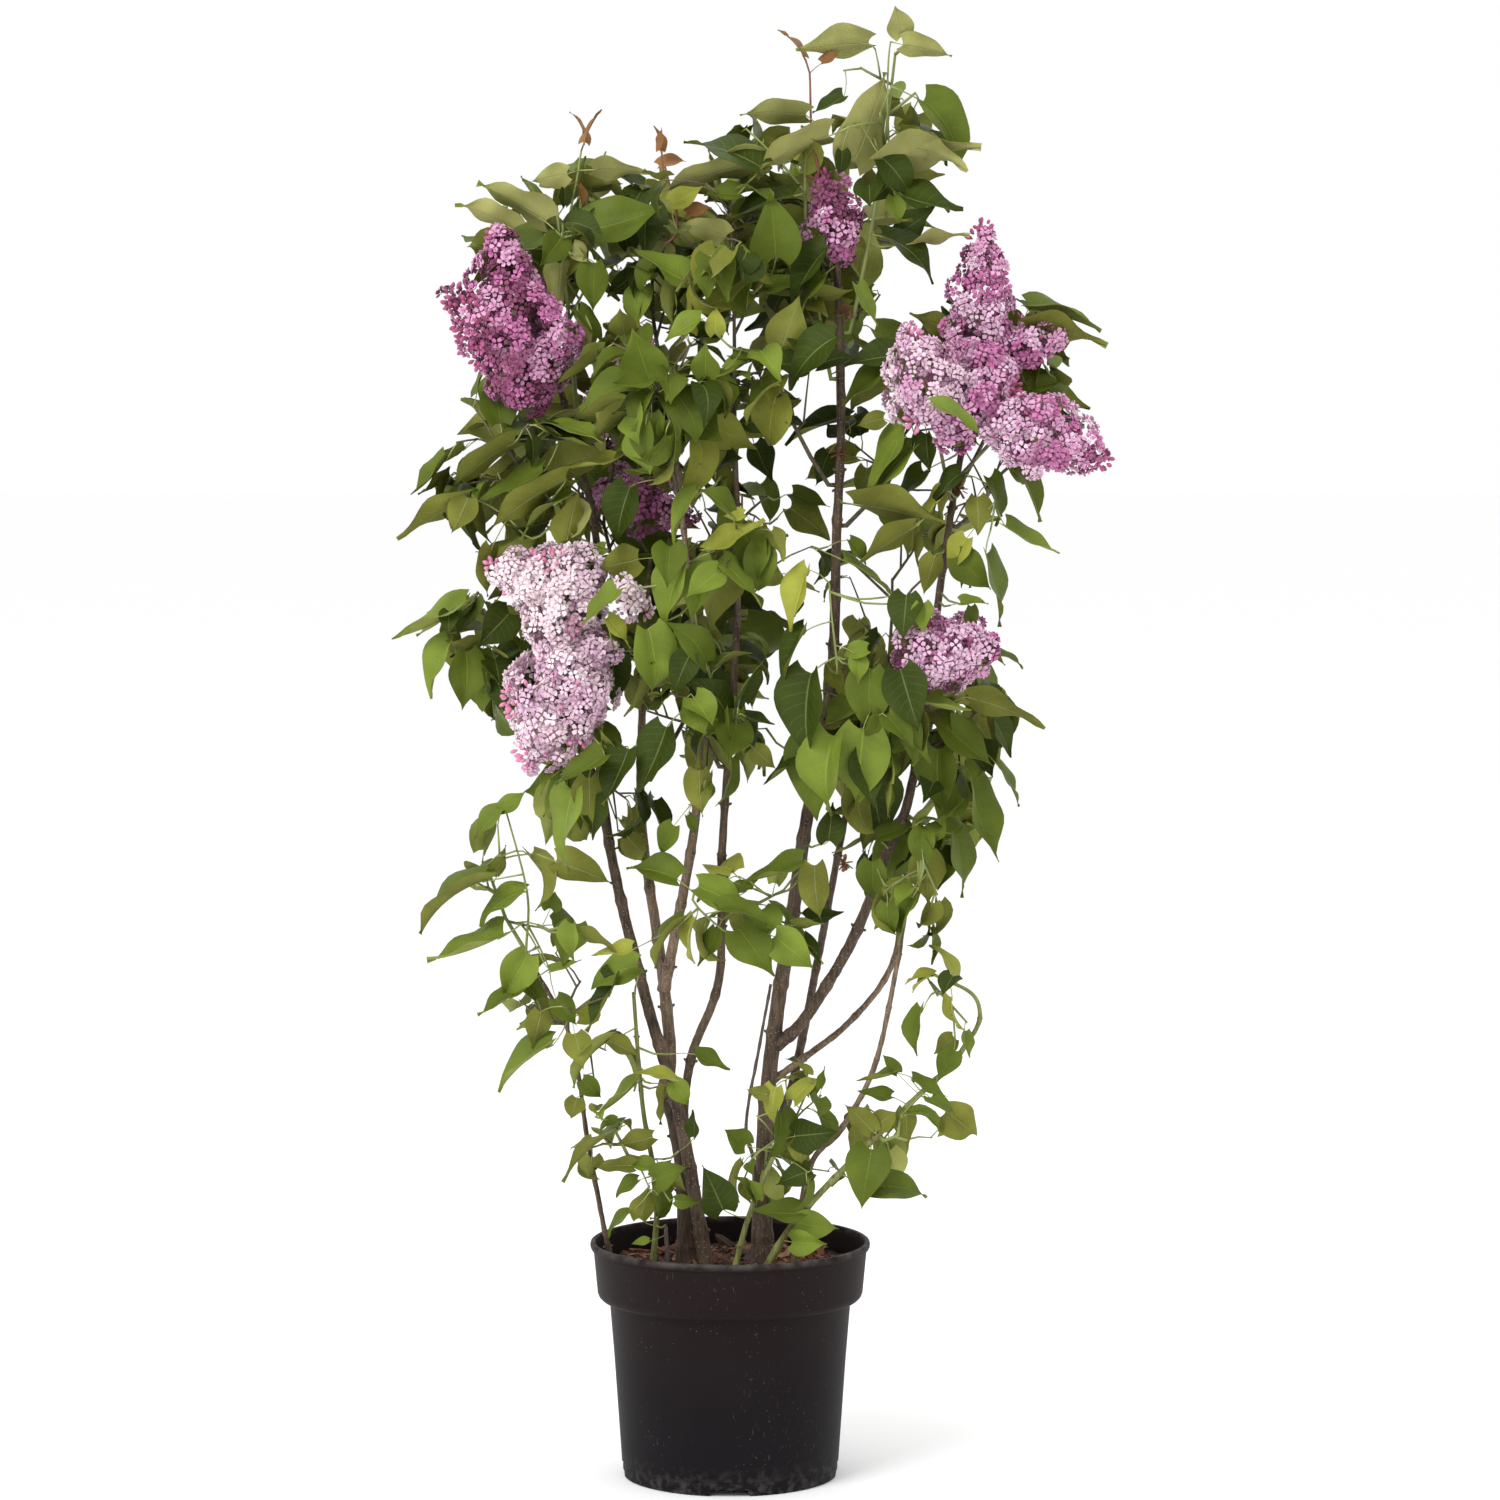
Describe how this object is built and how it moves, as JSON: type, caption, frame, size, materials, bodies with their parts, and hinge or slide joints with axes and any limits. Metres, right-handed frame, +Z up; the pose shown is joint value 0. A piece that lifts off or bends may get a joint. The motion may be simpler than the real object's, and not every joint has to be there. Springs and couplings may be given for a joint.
{
  "type": "potted lilac bush",
  "caption": "Leafy lilac shrub in flower with upright branching stems and several pointed flower heads, growing from bark compost in a round black nursery pot.",
  "frame": {"origin": "centre of the pot's flat underside, on the floor", "axes": "+Z up along the pot's axis, +X to the right of the front view, +Y away from the front view"},
  "size_m": [0.7039, 0.4327, 1.4818],
  "materials": {
    "pot_plastic": "black moulded nursery-pot plastic, satin, with fine pale scratches and dust",
    "compost": "reddish-brown bark compost, rough and matt",
    "bark": "grey-brown lilac bark with pale lenticels and darker nodes",
    "green_shoot": "smooth green young shoot, reddish at the foot",
    "leaf": "mid to dark green leaf, softly glossy above and paler and matt beneath",
    "leaf_young": "fresh yellow-green young leaf",
    "blossom_plum": "deep purple lilac blossom, matt",
    "blossom_lilac": "mid lilac blossom, matt",
    "blossom_pale": "pale lilac blossom, matt",
    "blossom_pink": "pinkish lilac blossom, matt",
    "blossom_white": "near-white blossom with a lilac blush, matt",
    "blossom_blush": "pale pink-lilac blossom with hot-pink buds, matt"
  },
  "bodies": {
    "root": {"pot": "pot_plastic", "soil": "compost", "bough_centre": "bark", "bough_left_inner": "bark", "bough_left_rising": "bark", "bough_right_inner": "bark", "bough_right_low": "bark", "bough_right_outer": "bark", "flowers_back_left": "blossom_lilac", "flowers_back_right": "blossom_pink", "flowers_inner": "blossom_plum", "flowers_left_hanging": "blossom_blush", "flowers_left_low": "blossom_white", "flowers_left_top": "blossom_plum", "flowers_right_hanging": "blossom_pink", "flowers_right_middle": "blossom_pink", "flowers_right_pale": "blossom_pale", "flowers_right_upright": "blossom_lilac", "flowers_top": "blossom_plum", "leaves_centre": "leaf", "leaves_centre_back": "leaf", "leaves_centre_low": "leaf", "leaves_centre_lower": "leaf", "leaves_centre_right": "leaf", "leaves_centre_upper": "leaf", "leaves_foot_right": "leaf_young", "leaves_hook": "leaf_young", "leaves_left_back": "leaf", "leaves_left_low": "leaf", "leaves_left_middle": "leaf", "leaves_left_upper": "leaf", "leaves_right_back": "leaf", "leaves_right_behind": "leaf", "leaves_right_front": "leaf", "leaves_right_low": "leaf", "leaves_right_middle": "leaf", "leaves_right_outer": "leaf", "leaves_right_upper": "leaf", "leaves_shoot_left": "leaf_young", "leaves_shoot_right": "leaf_young", "leaves_sucker": "leaf", "leaves_sucker_top": "leaf", "leaves_thin_stem": "leaf", "leaves_top_back": "leaf", "leaves_top_centre": "leaf", "leaves_top_left": "leaf", "leaves_top_middle": "leaf", "leaves_top_right": "leaf", "leaves_top_shoot": "leaf", "shoot_centre": "green_shoot", "shoot_left": "green_shoot", "shoot_right": "green_shoot", "shoot_right_hook": "green_shoot", "stem_centre_thin": "bark", "stem_left": "bark", "stem_right": "bark", "stem_right_thin": "bark", "stub_dry": "bark", "sucker_left": "bark", "trunk_left": "bark"}
  },
  "joints": []
}
